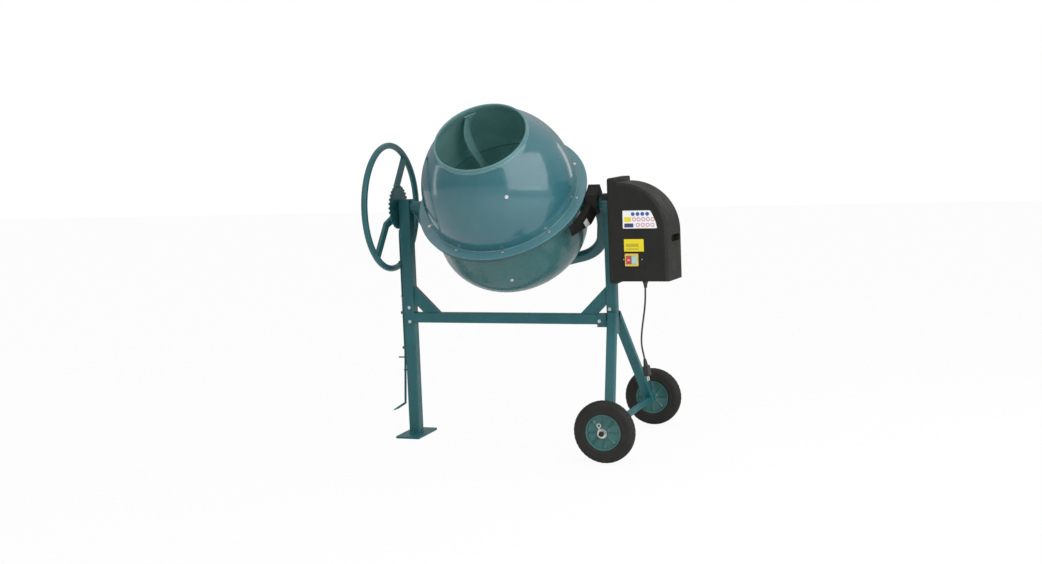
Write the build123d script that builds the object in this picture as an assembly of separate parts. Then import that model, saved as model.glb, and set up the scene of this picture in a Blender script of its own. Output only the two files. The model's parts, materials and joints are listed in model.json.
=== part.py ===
from build123d import *
import os
from math import radians, sqrt, tan

# Tilting-drum concrete mixer on a three-point stand.  Millimetres and degrees.
# World frame: +Z up, floor at Z = 0, -Y is the side where the mouth points at rest,
# X = 0 and Y = 0 are the middles of the overall length and width.
# Drum frame: origin where the drum axis crosses the tilt axis, +Z along the drum axis
# towards the mouth, X along the tilt axis.

# ---------------------------------------------------------------- driving dimensions
DRUM_X = -83.0            # drum centre plane
AXIS_Z = 928.0            # tilt axis above the floor
TILT = 42.0               # drum axis from vertical at rest
WALL = 2.5                # sheet and tube wall

FLANGE_R = 338.0          # outer radius of the drum's bolted flange
FLANGE_H = 54.0           # top of the flange along the drum axis
BOWL_R = 300.0
BOWL_ARC_R = 180.0        # radius of the bowl's lower rounding
BOWL_ARC_H = -110.0       # height where that rounding starts
CONE_ARC_R = 331.0        # radius of the upper shell's side arc
CONE_WIDE_R = 300.0       # widest radius of the upper shell
CONE_WIDE_H = 100.0       # height of that widest point
NECK_H = 350.0            # where the upper shell turns straight for the mouth
MOUTH_R = 179.5           # centre of the rolled rim
MOUTH_H = 364.0
BEAD_R = 4.5
FLANGE_BOLTS = 10
BOLT_CIRCLE_R = 307.0
BOLT_START = -4.0         # turn of the first flange bolt

RING_TEETH = 132
PINION_TEETH = 12
RING_PITCH_R = 319.0
TOOTH_FACE = 20.0         # tooth length along the pinion's axis
ADDENDUM = 4.3
DEDENDUM = 5.2
TOOTH_HALF = 2.9          # half tooth thickness at the pitch line, thinned for backlash
FLANK = 20.0              # flank slope

COLUMN_X = DRUM_X - 428.0
COLUMN_SIZE = 45.0
COLUMN_TOP = 954.0
POST_X = DRUM_X + 421.0
POST_SIZE = 40.0
BAR_Z = 481.3
BAR_SIZE = 40.0
WHEEL_X = DRUM_X + 478.0
WHEEL_Y = 346.0
WHEEL_R = 115.5
TYRE_WIDTH = 50.0
HUB_R = 67.0
AXLE_R = 10.0
AXLE_END = 392.0

DISC_X = DRUM_X - 462.0   # lock disc
DISC_R = 88.0
DISC_THICK = 6.0
NOTCH_DEPTH = 9.8
NOTCH_PITCH = 12.0        # every tilt limit is a whole number of notches
RIM_X = DRUM_X - 493.4
RIM_R = 247.0
RIM_TUBE_R = 12.5
SPOKE_ANGLES = (53.0, 231.0)

CASE_X = DRUM_X + 443.0   # inboard face of the belt case
CASE_THICK = 30.0
SHIELD_X = DRUM_X + 401.0  # inboard end of the case's shield over the pivot
CASE_Y = (-100.0, 119.0)
CASE_Z = (629.0, 1026.0)
COVER_X = DRUM_X + 682.0  # outboard face of the motor cover at its back
COVER_Y = (-100.0, 58.0)
COVER_Z = (636.0, 1010.0)
COVER_ARC_R = 192.0
COVER_ROUND = 14.0        # rounding of the cover's front edges
PLASTIC = 3.0
PULLEY_X = DRUM_X + 458.0
PULLEY_R = 90.0
MOTOR_PULLEY_R = 13.0
MOTOR_Y = -15.0
MOTOR_Z = 723.0

SHAFT_R = 10.0
RUN = 0.05                # radial running clearance

DRUM_FRAME = Location((DRUM_X, 0, AXIS_Z), (TILT, 0, 0))
TILT_FRAME = Location((DRUM_X, 0, AXIS_Z))


# ---------------------------------------------------------------- small helpers
def block(x, y, z):
    """Box between two limits on each axis."""
    box = Box(x[1] - x[0], y[1] - y[0], z[1] - z[0])
    return Pos((x[0] + x[1]) / 2, (y[0] + y[1]) / 2, (z[0] + z[1]) / 2) * box


def rod_x(radius, x0, x1, y=0.0, z=0.0):
    """Cylinder along X."""
    return Pos((x0 + x1) / 2, y, z) * Rot(0, 90, 0) * Cylinder(radius, abs(x1 - x0))


def rod_y(radius, y0, y1, x=0.0, z=0.0):
    """Cylinder along Y."""
    return Pos(x, (y0 + y1) / 2, z) * Rot(90, 0, 0) * Cylinder(radius, abs(y1 - y0))


def rod_z(radius, z0, z1, x=0.0, y=0.0):
    """Cylinder along Z."""
    return Pos(x, y, (z0 + z1) / 2) * Cylinder(radius, abs(z1 - z0))


def tube(solid_maker, outer, inner, *span, **place):
    """Hollow version of one of the rod makers above."""
    return solid_maker(outer, *span, **place) - solid_maker(inner, *span, **place)


def hexagon(across, height):
    """Hexagonal prism standing on its origin."""
    return extrude(RegularPolygon(across / sqrt(3), 6), height)


def hex_bolt(radius, length):
    """Bolt along -Z with its head standing on Z = 0."""
    shank = rod_z(radius, -length, 0.0)
    return hexagon(radius * 3.2, radius * 1.2) + shank


def turned(points):
    """Solid of revolution about Z from an (r, z) outline."""
    outline = make_face(Polyline(*[(r, 0, z) for r, z in points], close=True))
    return revolve(outline, Axis.Z)


def polar(shape, count, start=0.0):
    """Copies of a shape around Z."""
    return [Rot(0, 0, start + i * 360.0 / count) * shape for i in range(count)]


def group(shapes):
    """Separate solids kept together in one node."""
    solids = []
    for shape in shapes:
        solids.extend(shape.solids())
    return Compound(children=solids)


# ---------------------------------------------------------------- drum
def cone_radius(h, offset=0.0):
    """Outside radius of the upper shell at a height, moved in by an offset."""
    centre = CONE_WIDE_R - CONE_ARC_R
    return centre + sqrt((CONE_ARC_R - offset) ** 2 - (h - CONE_WIDE_H) ** 2)


def bowl_radius(h, offset=0.0):
    """Outside radius of the bowl at a height, moved in by an offset."""
    if h > BOWL_ARC_H:
        return BOWL_R - offset
    centre = BOWL_R - BOWL_ARC_R
    return centre + sqrt((BOWL_ARC_R - offset) ** 2 - (h - BOWL_ARC_H) ** 2)


BOWL_BOTTOM = BOWL_ARC_H - BOWL_ARC_R
FLANGE_MID = FLANGE_H - WALL
FLANGE_BASE = FLANGE_H - 2 * WALL


def flange_holes():
    """Clearance holes for the flange bolts."""
    hole = rod_z(3.2, FLANGE_BASE - 14, FLANGE_H + 5, x=BOLT_CIRCLE_R)
    return polar(hole, FLANGE_BOLTS, BOLT_START)


def drum_cone():
    """Upper shell: domed cone from the flange up to the rolled mouth."""
    def side(offset, low):
        mid = (low + NECK_H) / 2
        return ThreePointArc(
            (cone_radius(low, offset), 0, low),
            (cone_radius(mid, offset), 0, mid),
            (cone_radius(NECK_H, offset), 0, NECK_H),
        )

    outer = side(0.0, FLANGE_H)
    inner = side(WALL, FLANGE_MID)
    neck_r = MOUTH_R - WALL / 2
    edges = [
        Line((FLANGE_R, 0, FLANGE_MID), (FLANGE_R, 0, FLANGE_H)),
        Line((FLANGE_R, 0, FLANGE_H), outer @ 0),
        outer,
        Line(outer @ 1, (neck_r + WALL, 0, MOUTH_H)),
        Line((neck_r + WALL, 0, MOUTH_H), (neck_r, 0, MOUTH_H)),
        Line((neck_r, 0, MOUTH_H), inner @ 1),
        inner,
        Line(inner @ 0, (FLANGE_R, 0, FLANGE_MID)),
    ]
    shell = revolve(make_face(Curve() + edges), Axis.Z)
    bead = Pos(0, 0, MOUTH_H) * Torus(MOUTH_R, BEAD_R)
    shell = shell + bead
    return shell - flange_holes() - blade_holes(upper=True)


def drum_bowl():
    """Lower shell: straight wall, rounded bottom, flange turned out at the top."""
    def side(radius):
        centre = (BOWL_R - BOWL_ARC_R, 0, BOWL_ARC_H)
        corner = 1 / sqrt(2)
        return ThreePointArc(
            (centre[0] + radius, 0, centre[2]),
            (centre[0] + radius * corner, 0, centre[2] - radius * corner),
            (centre[0], 0, centre[2] - radius),
        )

    outer = side(BOWL_ARC_R)
    inner = side(BOWL_ARC_R - WALL)
    edges = [
        Line((FLANGE_R, 0, FLANGE_MID), (FLANGE_R, 0, FLANGE_BASE)),
        Line((FLANGE_R, 0, FLANGE_BASE), (BOWL_R, 0, FLANGE_BASE)),
        Line((BOWL_R, 0, FLANGE_BASE), outer @ 0),
        outer,
        Line(outer @ 1, (SHAFT_R, 0, BOWL_BOTTOM)),
        Line((SHAFT_R, 0, BOWL_BOTTOM), (SHAFT_R, 0, BOWL_BOTTOM + WALL)),
        Line((SHAFT_R, 0, BOWL_BOTTOM + WALL), inner @ 1),
        inner,
        Line(inner @ 0, (BOWL_R - WALL, 0, FLANGE_MID)),
        Line((BOWL_R - WALL, 0, FLANGE_MID), (FLANGE_R, 0, FLANGE_MID)),
    ]
    shell = revolve(make_face(Curve() + edges), Axis.Z)
    return shell - flange_holes() - blade_holes(upper=False)


def ring_gear_segments():
    """Four cast quarter segments with teeth facing the pinion."""
    pitch = 360.0 / RING_TEETH
    pinion_pitch_r = RING_PITCH_R * PINION_TEETH / RING_TEETH
    root = pinion_pitch_r + DEDENDUM
    tip = pinion_pitch_r - ADDENDUM
    slope = tan(radians(FLANK))
    root_half = TOOTH_HALF + DEDENDUM * slope
    tip_half = TOOTH_HALF - ADDENDUM * slope
    inner_r = RING_PITCH_R - TOOTH_FACE / 2
    body_r = (BOWL_R + 1, inner_r + TOOTH_FACE + 4)
    section = make_face(
        Polyline(
            (body_r[0], 0, root), (body_r[1], 0, root),
            (body_r[1], 0, FLANGE_BASE), (body_r[0], 0, FLANGE_BASE),
            close=True,
        )
    )
    body = Rot(0, 0, 0.15) * revolve(section, Axis.Z, 89.7)
    tooth_face = make_face(
        Polyline(
            (inner_r, -root_half, root + 0.2), (inner_r, root_half, root + 0.2),
            (inner_r, tip_half, tip), (inner_r, -tip_half, tip),
            close=True,
        )
    )
    tooth = extrude(tooth_face, TOOTH_FACE, dir=(1, 0, 0))
    count = RING_TEETH // 4
    teeth = [Rot(0, 0, (i + 0.5) * pitch) * tooth for i in range(count)]
    segment = body + teeth
    quarters = polar(segment, 4)
    return group([quarter - flange_holes() for quarter in quarters])


BLADE_TURNS = (120.6, -59.1)
BLADE_HIGH = (298.0, 265.0)   # heights of the two blades' upper bolts
BLADE_LOW = -113.0
BLADE_LAG = -18.2         # turn from a blade's upper bolt to its lower one
BLADE_BOLT_R = 3.0
BLADE_INSET = 9.0         # blade tab's middle from the wall's outside
BLADE_WIDTH = 46.0
BLADE_THICK = 5.0


def wall_point(h, inset):
    """Point in the X-Z plane just inside the drum's wall, and the outward direction."""
    if h > 0:
        r = cone_radius(h, inset)
        centre = Vector(CONE_WIDE_R - CONE_ARC_R, 0, CONE_WIDE_H)
    else:
        r = bowl_radius(h, inset)
        centre = Vector(BOWL_R - BOWL_ARC_R, 0, max(h, BOWL_ARC_H))
    point = Vector(r, 0, h)
    return point, (point - centre).normalized()


def blade_bolt(index, upper, hole=False):
    """Bolt through the wall at one end of a blade, or the hole it needs."""
    point, outward = wall_point(BLADE_HIGH[index] if upper else BLADE_LOW, 0.0)
    place = Plane(origin=point, z_dir=outward)
    if hole:
        shape = place * rod_z(BLADE_BOLT_R + 0.2, -22.0, 4.0)
    else:
        shape = place * hex_bolt(BLADE_BOLT_R, 18.0)
    return Rot(0, 0, blade_turn(index, upper)) * shape


def blade_turn(index, upper):
    """Turn about the drum axis of one end of a blade."""
    return BLADE_TURNS[index] + (0.0 if upper else BLADE_LAG)


def blade_holes(upper):
    """Holes in one shell for both blades' bolts."""
    return [blade_bolt(index, upper, hole=True) for index in range(2)]


def drum_bolts():
    """Ten bolts through both flanges into the ring gear, and four that hold the blades."""
    flange_bolt = Pos(BOLT_CIRCLE_R, 0, FLANGE_H) * hex_bolt(3.0, 16.0)
    bolts = polar(flange_bolt, FLANGE_BOLTS, BOLT_START)
    for index in range(2):
        for upper in (True, False):
            bolts.append(blade_bolt(index, upper))
    return group(bolts)


def drum_room():
    """Space inside both shells, one millimetre clear of their walls."""
    clear = WALL + 1.0
    lower = [(bowl_radius(h, clear), h) for h in (-250, -200, -150, -110, 48)]
    upper = [(cone_radius(h, clear), h) for h in (60, 140, 200, 250, 300, 340)]
    return turned([(0, -250)] + lower + upper + [(0, 340)])


def mixing_blade(index):
    """Bent and twisted flat bar from the cone's wall down to the bowl's wall."""
    high = BLADE_HIGH[index]
    stations = (              # height, inset from the wall, turn, twist
        (high + 20, BLADE_INSET, 0.0, 0.0),
        (high - 14, BLADE_INSET + 4, 0.5, 8.0),
        ((high + 190) / 2, 30.0, 6.0, 30.0),
        (180.0, 66.0, 9.0, 42.0),
        (105.0, 96.0, 7.0, 58.0),
        (-25.0, 70.0, -6.0, 40.0),
        (BLADE_LOW + 18, BLADE_INSET + 12, BLADE_LAG + 1.5, 8.0),
        (BLADE_LOW - 20, BLADE_INSET, BLADE_LAG, 0.0),
    )
    sections = []
    for h, inset, turn, twist in stations:
        point, outward = wall_point(h, inset)
        along = Vector(0, 1, 0)
        plane = Plane(origin=point, x_dir=along, z_dir=outward.cross(along))
        face = plane * Rot(0, 0, twist) * RectangleRounded(BLADE_WIDTH, BLADE_THICK, 2.0)
        sections.append(Rot(0, 0, BLADE_TURNS[index] + turn) * face)
    blade = loft(Sketch() + sections) & drum_room()
    return blade - [blade_bolt(index, upper, hole=True) for upper in (True, False)]


HOUSING_TOP = -350.0
HOUSING_BASE = -401.0
HOUSING_R = 27.0
BEARING_R = 21.0
BEARING_WIDTH = 12.0
HUB_DEPTH = 30.0
CAP_R = 32.0              # hub's flange and the plate inside the bowl


def drum_hub():
    """Turned boss welded under the bowl, carried by the drum shaft."""
    top = BOWL_BOTTOM
    low = top - HUB_DEPTH
    return turned(
        [(SHAFT_R, top), (CAP_R, top), (CAP_R, top - 5), (20, top - 11), (20, low), (SHAFT_R, low)]
    )


def drum_shaft():
    """Steel spindle from the bowl's bottom down through both bearings."""
    upper = rod_z(SHAFT_R, BOWL_BOTTOM - HUB_DEPTH, BOWL_BOTTOM + WALL + 20)
    journal = rod_z(SHAFT_R - RUN, HOUSING_BASE - 10, BOWL_BOTTOM - HUB_DEPTH)
    return upper + journal


def shaft_nuts():
    """Domed nut on its plate inside the bowl, and the thin nut under the housing."""
    base = BOWL_BOTTOM + WALL
    plate = rod_z(CAP_R, base, base + 4)
    nut = Pos(0, 0, base + 4) * hexagon(30.0, 14.0)
    dome = Pos(0, 0, base + 18) * (Sphere(14.0) & Pos(0, 0, 10) * Box(40, 40, 20))
    upper = plate + nut + dome - rod_z(SHAFT_R, base - 1, base + 20)
    lower = Pos(0, 0, HOUSING_BASE - 9) * hexagon(28.0, 8.0)
    lower = lower - rod_z(SHAFT_R - RUN, HOUSING_BASE - 12, HOUSING_BASE)
    return group([upper, lower])


# ---------------------------------------------------------------- yoke
ARM_X = 376.0
ARM_WIDTH = 44.0
ARM_DEPTH = 32.0
ARM_BEND = (331.0, -273.0)   # corner where the arm turns in under the bowl
YOKE_LOW = -376.0
PIVOT_TUBE_R = 25.0
LEFT_AXLE_R = 15.0
AXLE_TIP_R = 11.0         # left axle's end, outboard of the column


def yoke_half():
    """One arm of the yoke, from the pivot down and in to the drum axis."""
    def section(inset):
        return RectangleRounded(ARM_WIDTH - 2 * inset, ARM_DEPTH - 2 * inset, 12.0 - inset)

    path = FilletPolyline(
        (ARM_X, 0, 6), (ARM_X, 0, -95), (ARM_BEND[0], 0, ARM_BEND[1]), (-8, 0, YOKE_LOW - 2),
        radius=[250.0, 165.0],
    )
    start = Plane(origin=(ARM_X, 0, 6), x_dir=(1, 0, 0), z_dir=(0, 0, -1))
    outer = sweep(start * section(0.0), path=path)
    inner = sweep(start * section(WALL), path=path)
    return outer, inner


def yoke():
    """U-shaped tube under the drum, cut for its pivots and the bearing housing."""
    outer, inner = yoke_half()
    half = outer - inner
    half = half & block((0, 500), (-40, 40), (-500, 40))
    whole = half + mirror(half, Plane.YZ)
    whole = whole - rod_z(HOUSING_R, -450, -330)
    whole = whole - rod_x(PIVOT_TUBE_R, 340, 410)
    return whole - rod_x(LEFT_AXLE_R + 7, -410, -340)


def bearing_housing():
    """Turned housing welded into the middle of the yoke."""
    body = rod_z(HOUSING_R, HOUSING_BASE, HOUSING_TOP)
    body = body - rod_z(SHAFT_R + 3, HOUSING_BASE - 1, HOUSING_TOP + 1)
    for low in (HOUSING_TOP - BEARING_WIDTH, HOUSING_BASE):
        body = body - rod_z(BEARING_R, low, low + BEARING_WIDTH)
    return body


def bearing():
    """Ball bearing drawn as one ring with a groove in each face."""
    ring = rod_z(BEARING_R, 0, BEARING_WIDTH) - rod_z(SHAFT_R, -1, BEARING_WIDTH + 1)
    mid = (BEARING_R + SHAFT_R) / 2
    groove = tube(rod_z, mid + 2.5, mid - 2.5, 0, 1.0)
    return ring - groove - Pos(0, 0, BEARING_WIDTH - 1) * groove


PIVOT_SPAN = (350.0, 441.5)


def pivot_tube():
    """Right pivot: tube welded in the arm's eye, hollow for the pinion shaft."""
    body = rod_x(PIVOT_TUBE_R, *PIVOT_SPAN) - rod_x(SHAFT_R + 3, 340, 450)
    for x in (PIVOT_SPAN[0], PIVOT_SPAN[1] - BEARING_WIDTH):
        body = body - rod_x(BEARING_R, x, x + BEARING_WIDTH)
    return body


def ball_bearings():
    """Two bearings in the yoke's housing and two in the right pivot tube."""
    upright = [Pos(0, 0, z) * bearing() for z in (HOUSING_TOP - BEARING_WIDTH, HOUSING_BASE)]
    lying = Rot(0, 90, 0) * bearing()
    starts = (PIVOT_SPAN[0], PIVOT_SPAN[1] - BEARING_WIDTH)
    return group(upright + [Pos(x, 0, 0) * lying for x in starts])


def pivot_axle():
    """Left pivot: boss in the arm's eye and the axle through the column."""
    boss = rod_x(LEFT_AXLE_R + 7, -352, -402)
    axle = rod_x(LEFT_AXLE_R - RUN, -402, -456)
    end = rod_x(AXLE_TIP_R, -456, -484)
    return boss + axle + end


def lock_disc():
    """Toothed plate that holds the chosen tilt, drawn as a core and its separate teeth."""
    x0 = DISC_X - DRUM_X - DISC_THICK / 2
    x1 = x0 + DISC_THICK
    core = rod_x(DISC_R - NOTCH_DEPTH, x0, x1)
    notch = Pos((x0 + x1) / 2, 0, -DISC_R) * Box(DISC_THICK + 2, 9.0, 20.0)
    count = round(360 / NOTCH_PITCH)
    notches = [Rot(i * NOTCH_PITCH, 0, 0) * notch for i in range(count)]
    teeth = rod_x(DISC_R, x0, x1) - core - notches
    return group([core - rod_x(AXLE_TIP_R, x0 - 1, x1 + 1), teeth])


HUB_IN = -465.0
HUB_OUT = -481.0
SPOKE_THICK = 13.0
SPOKE_WIDTH = 30.0


def handwheel_spokes():
    """Hub boss and two bent flat bars that carry the rim."""
    hub = rod_x(24.0, HUB_OUT, HUB_IN)
    rim_x = RIM_X - DRUM_X
    half = SPOKE_THICK / 2
    mid = (HUB_IN + HUB_OUT) / 2 - 1.0
    shoulder = 60.0
    bend = 90.0
    end = RIM_R - 9.0
    outline = Polyline(
        (mid + half, 15), (mid + half, shoulder), (rim_x + half, bend), (rim_x + half, end),
        (rim_x - half, end), (rim_x - half, bend - 3), (mid - half, shoulder - 3),
        (mid - half, 15), close=True,
    )
    bar = extrude(Plane.XZ * make_face(outline), SPOKE_WIDTH / 2, both=True)
    bars = [Rot(angle - 90, 0, 0) * bar for angle in SPOKE_ANGLES]
    return hub + bars - rod_x(AXLE_TIP_R, -500, -440)


def handwheel_rim():
    """Round tube rim, relieved where the spokes are welded in."""
    rim = Pos(RIM_X - DRUM_X, 0, 0) * Rot(0, 90, 0) * Torus(RIM_R, RIM_TUBE_R)
    return rim - handwheel_spokes()


def handwheel_nut():
    """Washer and nut on the end of the left axle."""
    washer = tube(rod_x, 17.0, AXLE_TIP_R, HUB_OUT - 2, HUB_OUT)
    nut = Pos(HUB_OUT - 10, 0, 0) * Rot(0, 90, 0) * hexagon(28.0, 8.0)
    return washer + (nut - rod_x(AXLE_TIP_R, -484, -480))


GUARD_R = 341.5           # inner radius, just outside the flange
GUARD_LOW = -16.0
GUARD_TIER = 34.0         # top of the crescent beside the flange
GUARD_TOP = 56.0          # top of the hood over the pinion
GUARD_END = 326.0         # distance of the plane that trims the crescent's tip


def guard_crescent(inset):
    """Solid of the crescent beside the flange, drawn in by an inset."""
    top = GUARD_TIER - inset
    low = GUARD_LOW - (1.0 if inset else 0.0)
    inner = GUARD_R - (1.0 if inset else 0.0)
    outline = Polyline(
        (inner, 0, low), (378 - inset, 0, low), (368 - inset, 0, top), (inner, 0, top), close=True
    )
    ring = Rot(0, 0, -36) * revolve(make_face(outline), Axis.Z, 36)
    tip = Rot(0, 0, -45) * block((0, GUARD_END - inset), (-200, 300), (low - 1, top + 1))
    return ring & tip & block((0, 400), (-300, -30), (low - 1, top + 1))


def guard_hood():
    """Hood over the pinion and round the pivot tube, open below."""
    side = make_face(
        Polyline(
            (GUARD_R, -44, GUARD_LOW), (GUARD_R, -44, 22), (GUARD_R, -14, GUARD_TOP),
            (GUARD_R, 46, GUARD_TOP), (GUARD_R, 46, GUARD_LOW), close=True,
        )
    )
    hood = extrude(side, 46.0, dir=(1, 0, 0))
    inner = offset(side, -PLASTIC)
    room = extrude(inner, 46.0 - PLASTIC, dir=(1, 0, 0))
    slot = block((330, 400), (-30, 30), (-40, 17))
    return hood - room - slot - rod_x(PIVOT_TUBE_R + 1.0, 330, 400)


def gear_guard():
    """Plastic guard: a crescent beside the flange and a hood over the pinion."""
    crescent = guard_crescent(0.0) - guard_crescent(PLASTIC)
    return crescent + guard_hood()


# ---------------------------------------------------------------- pinion drive
def pinion_gear():
    """Small spur gear meshing with the ring gear from below."""
    pitch_r = RING_PITCH_R * PINION_TEETH / RING_TEETH
    root_r = pitch_r - DEDENDUM
    tip_r = pitch_r + ADDENDUM
    slope = tan(radians(FLANK))
    root_half = TOOTH_HALF + 0.6
    tip_half = TOOTH_HALF - ADDENDUM * slope
    x0 = RING_PITCH_R - TOOTH_FACE / 2 - 2
    tooth_face = make_face(
        Polyline(
            (x0, -root_half, root_r - 1), (x0, root_half, root_r - 1),
            (x0, TOOTH_HALF, pitch_r), (x0, tip_half, tip_r),
            (x0, -tip_half, tip_r), (x0, -TOOTH_HALF, pitch_r),
            close=True,
        )
    )
    tooth = extrude(tooth_face, TOOTH_FACE + 4, dir=(1, 0, 0))
    core = rod_x(root_r, x0, x0 + TOOTH_FACE + 4)
    teeth = [Rot(i * 360.0 / PINION_TEETH, 0, 0) * tooth for i in range(PINION_TEETH)]
    return core + teeth - rod_x(SHAFT_R - RUN, 290, 340)


def pinion_shaft():
    """Shaft from the pinion, through the pivot tube, to the large pulley."""
    return rod_x(SHAFT_R - RUN, 304, 470)


def grooved_pulley(radius, bore, width, groove):
    """V-belt pulley about X, centred on its groove."""
    half = width / 2
    floor = radius - groove
    outline = [(bore, -half), (radius, -half), (radius, -half + 2), (floor, -2.5),
               (floor, 2.5), (radius, half - 2), (radius, half), (bore, half)]
    return Pos(PULLEY_X - DRUM_X, 0, 0) * Rot(0, 90, 0) * turned(outline)


BIG_GROOVE = 8.0
SMALL_GROOVE = 5.0


def large_pulley():
    """Driven pulley, lightened by six round holes."""
    pulley = grooved_pulley(PULLEY_R, SHAFT_R - RUN, 16.0, BIG_GROOVE)
    mid = PULLEY_X - DRUM_X
    webs = [tube(rod_x, 68.0, 24.0, mid + side * 3.0, mid + side * 9.0) for side in (-1, 1)]
    holes = [Rot(i * 60, 0, 0) * rod_x(14.0, mid - 10, mid + 10, z=46.0) for i in range(6)]
    return pulley - webs - holes


def drive_belt():
    """V-belt round both pulleys, just clear of their grooves."""
    clearance = 0.4
    big = PULLEY_R - BIG_GROOVE + clearance
    small = MOTOR_PULLEY_R - SMALL_GROOVE + clearance
    reach = Vector(0, MOTOR_Y, MOTOR_Z - AXIS_Z)
    across = Plane(origin=(PULLEY_X, 0, AXIS_Z), x_dir=reach, z_dir=(1, 0, 0))

    def loop(extra):
        discs = [Circle(big + extra), Pos(reach.length, 0) * Circle(small + extra)]
        return make_hull((Sketch() + discs).edges())

    return extrude(across * (loop(6.0) - loop(0.0)), 2.2, both=True)


# ---------------------------------------------------------------- motor
MOTOR_SPAN = (480.0, 622.0)
MOTOR_R = 57.0
ROTOR_R = 30.0
MOTOR_SHAFT_R = 6.0


def motor_frame(shape):
    """Place a shape drawn about the motor's axis."""
    return Pos(DRUM_X, MOTOR_Y, MOTOR_Z) * shape


def motor_body():
    """Finned stator and its two end caps with the shaft's bearing bores."""
    x0, x1 = MOTOR_SPAN
    body = tube(rod_x, MOTOR_R - 5, ROTOR_R + 1.0, x0 + 12, x1 - 12)
    fin = Pos((x0 + x1) / 2, 0, MOTOR_R - 4) * Box(x1 - x0 - 24, 3.0, 8.0)
    fins = [Rot(i * 20.0, 0, 0) * fin for i in range(18)]
    caps = [tube(rod_x, MOTOR_R, MOTOR_SHAFT_R + RUN, x, x + 12) for x in (x0, x1 - 12)]
    return motor_frame(group([body + fins] + caps))


def motor_rotor():
    """Rotor core on its shaft."""
    x0, x1 = MOTOR_SPAN
    core = rod_x(ROTOR_R, x0 + 16, x1 - 16)
    return motor_frame(core + rod_x(MOTOR_SHAFT_R, 449, x1 + 14))


def motor_pulley():
    """Driving pulley on the motor shaft."""
    return motor_frame(grooved_pulley(MOTOR_PULLEY_R, MOTOR_SHAFT_R, 14.0, SMALL_GROOVE))


def cooling_fan():
    """Seven-bladed fan behind the motor."""
    x0 = MOTOR_SPAN[1] + 3
    hub = tube(rod_x, 14.0, MOTOR_SHAFT_R, x0, x0 + 10)
    blade = Pos(x0 + 5, 0, 26) * Rot(0, 0, 35) * Box(12, 2, 30)
    blades = [Rot(i * 360 / 7, 0, 0) * blade for i in range(7)]
    fan = hub + blades
    return motor_frame(fan - rod_x(MOTOR_SHAFT_R, x0 - 5, x0 + 15))


# ---------------------------------------------------------------- housing
def belt_case():
    """Inboard plastic case round the belt drive, with a half-round shield over the pivot."""
    x0, x1 = CASE_X, CASE_X + CASE_THICK
    outer = block((x0, x1), CASE_Y, CASE_Z)
    outer = fillet(outer.edges().filter_by(Axis.X), 10.0)
    outer = chamfer(outer.faces().sort_by(Axis.X)[0].edges(), 3.0)
    y = (CASE_Y[0] + PLASTIC, CASE_Y[1] - PLASTIC)
    z = (CASE_Z[0] + PLASTIC, CASE_Z[1] - PLASTIC)
    inner = block((x0 + PLASTIC, x1 - PLASTIC), y, z)
    inner = fillet(inner.edges().filter_by(Axis.X), 7.0)
    window = block((x1 - 2 * PLASTIC, x1 + 1), (-88, 48), (MOTOR_Z - 68, MOTOR_Z + 75))
    opening = rod_x(14.0, x0 - 1, x0 + 10, z=AXIS_Z)
    ring = tube(rod_x, 37.5, 35.0, SHIELD_X, x0 + 1, z=AXIS_Z)
    shield = ring & block((SHIELD_X, x0 + 1), (-40, 40), (AXIS_Z + 14, AXIS_Z + 40))
    return outer - inner - window - opening + shield


def cover_profile(inset, arc_r, right):
    """Side outline of the motor cover: flat bottom and back, quarter-round top corner."""
    left = CASE_X + CASE_THICK
    low = COVER_Z[0] + inset
    high = COVER_Z[1] - inset
    right = right - inset
    radius = arc_r - inset
    centre = (right - radius, high - radius)
    corner = radius / sqrt(2)
    edges = [
        Line((left, low), (right, low)),
        Line((right, low), (right, centre[1])),
        ThreePointArc((right, centre[1]), (centre[0] + corner, centre[1] + corner),
                      (centre[0], high)),
        Line((centre[0], high), (left, high)),
        Line((left, high), (left, low)),
    ]
    return make_face(Curve() + edges)


def cover_body(inset):
    """Solid of the cover's shape, drawn in towards its front."""
    back = Plane(origin=(0, COVER_Y[1] - inset, 0), x_dir=(1, 0, 0), z_dir=(0, -1, 0))
    depth = COVER_Y[1] - COVER_Y[0] - 2 * inset
    front = back.offset(depth)
    wide = back * cover_profile(inset, COVER_ARC_R, COVER_X)
    slim = front * cover_profile(inset, COVER_ARC_R - 8, COVER_X - 14)
    body = loft(Sketch() + [wide, slim])
    left = CASE_X + CASE_THICK
    rim = [e for e in body.faces().sort_by(Axis.Y)[0].edges() if e.center().X > left + 1]
    return fillet(rim, COVER_ROUND - inset)


BEZEL_X = (DRUM_X + 507, DRUM_X + 558)
BEZEL_Z = (696.0, 743.0)
SWITCH_MID = (BEZEL_X[0] + BEZEL_X[1]) / 2
GLAND = (DRUM_X + 576, -80.0)
GRIP_Y = 0.0              # middle of the grip recess
GRIP_Z = 794.0
GRIP_HALF = (13.0, 48.0)  # half height and half length of the recess
GRIP_DEPTH = 16.0


def motor_cover():
    """Outboard plastic shell over the motor, with a grip recess and a switch window."""
    outer = cover_body(0.0)
    shell = outer - cover_body(PLASTIC)
    panel = block((DRUM_X + 497, DRUM_X + 583), (COVER_Y[0] - 2, COVER_Y[0] + 1), (690, 749))
    shell = shell + fillet(panel.edges().filter_by(Axis.Y), 3.0)
    grip = grip_pocket(0.0)
    cup = grip_pocket(PLASTIC) & outer
    shell = shell + (cup - grip) - grip
    x = (BEZEL_X[0] + 3, BEZEL_X[1] - 3)
    z = (BEZEL_Z[0] + 3, BEZEL_Z[1] - 3)
    window = block(x, (COVER_Y[0] - 10, COVER_Y[0] + 10), z)
    return shell - window - rod_z(7.0, COVER_Z[0] - 10, COVER_Z[0] + 10, x=GLAND[0], y=GLAND[1])


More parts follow.
